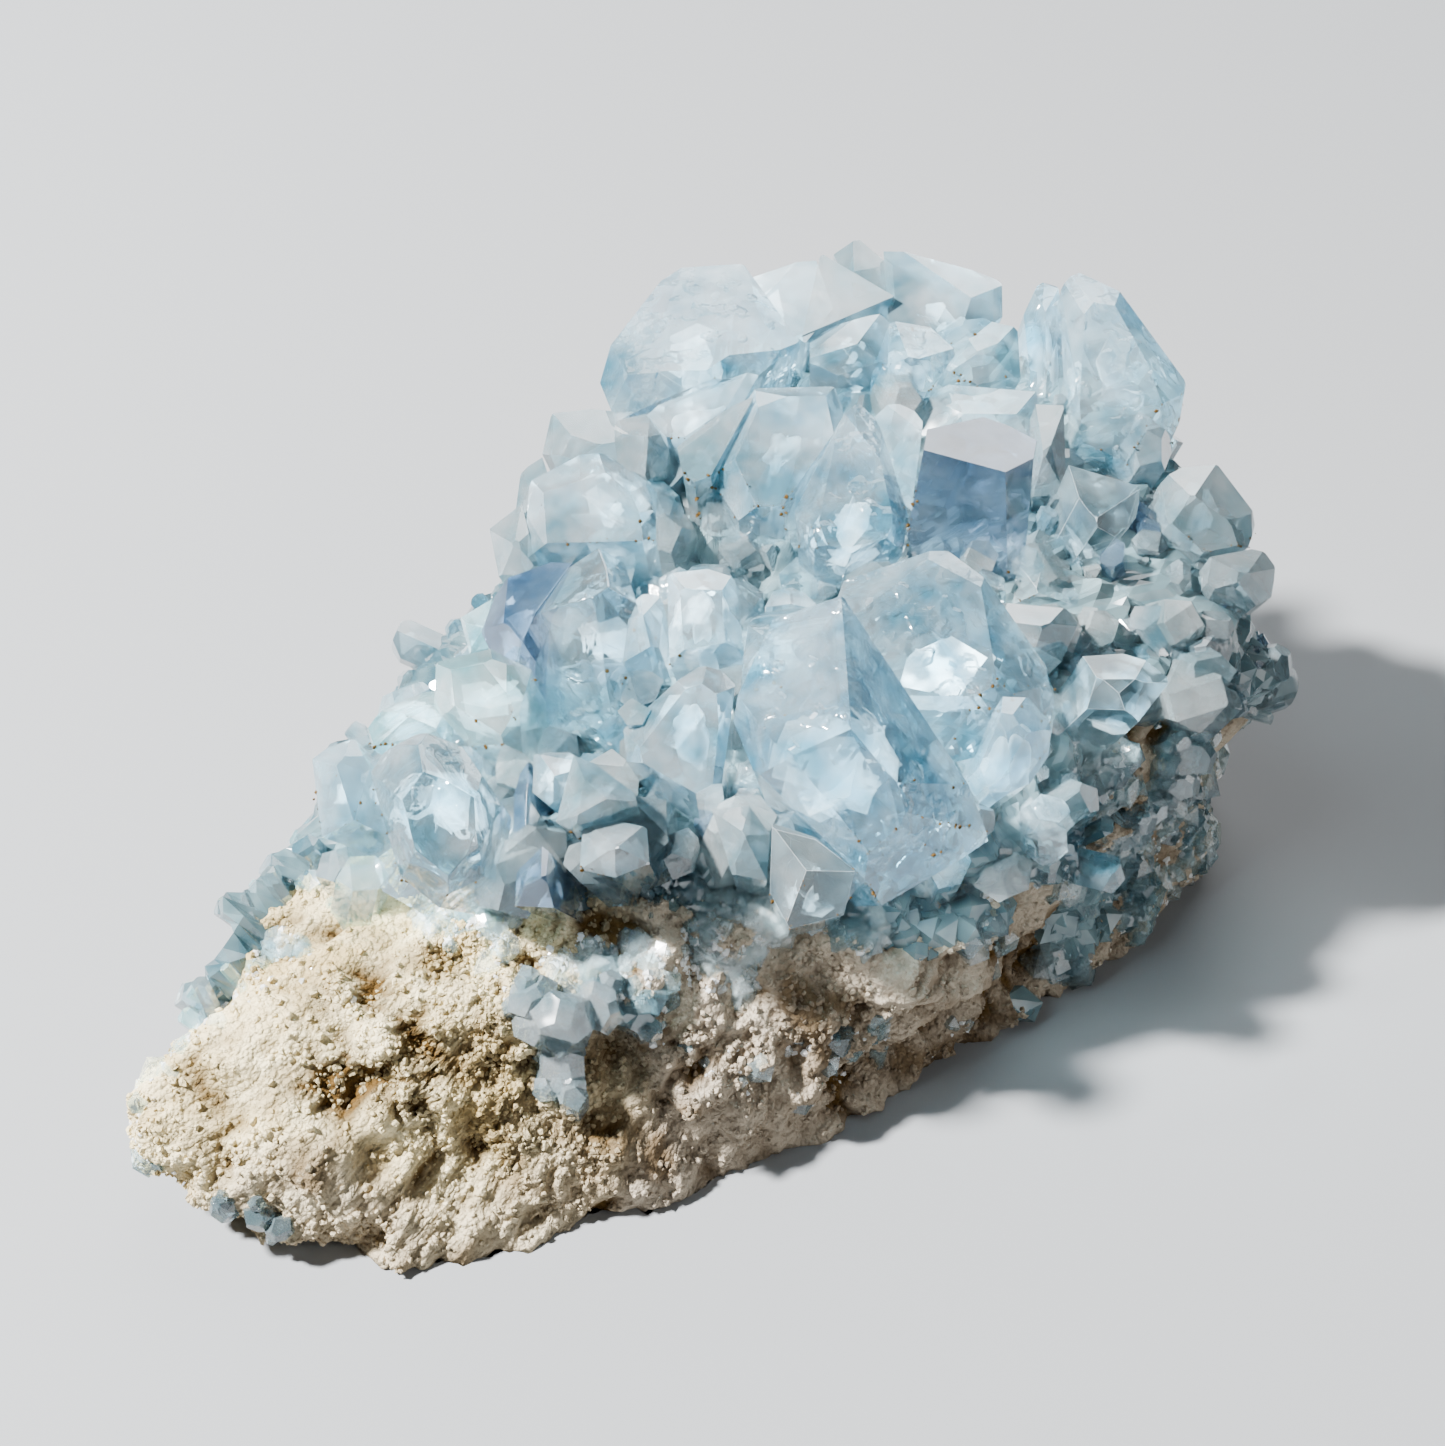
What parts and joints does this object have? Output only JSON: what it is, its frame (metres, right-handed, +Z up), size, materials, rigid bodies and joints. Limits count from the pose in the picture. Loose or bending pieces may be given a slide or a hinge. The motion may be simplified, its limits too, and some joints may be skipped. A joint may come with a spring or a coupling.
{
  "type": "celestite crystal cluster",
  "caption": "Cluster of pale blue, flat-faced celestite crystals grown over a lump of cream chalky rock; a loose hand specimen that rests on its flat underside.",
  "frame": {"origin": "under the middle of the specimen, on the plane it rests on", "axes": "+X to the right along the specimen, its pointed rock tip at -X; +Y to the back, so the crystal slope faces -Y; +Z up from the flat underside"},
  "size_m": [0.084, 0.0702, 0.043],
  "materials": {
    "chalky_rock": "dry, crumbly cream and taupe chalk with brown-stained hollows",
    "celestite": "vitreous pale blue crystal, milky inside, with bright veils and frosted growth faces",
    "celestite_druse": "fine white to grey-blue druse of small crystals"
  },
  "bodies": {
    "root": {"matrix": "chalky_rock", "crystal_cluster": "celestite", "front_druse": "celestite_druse", "wall_crystals": "celestite_druse", "edge_crystals": "celestite_druse"}
  },
  "joints": []
}
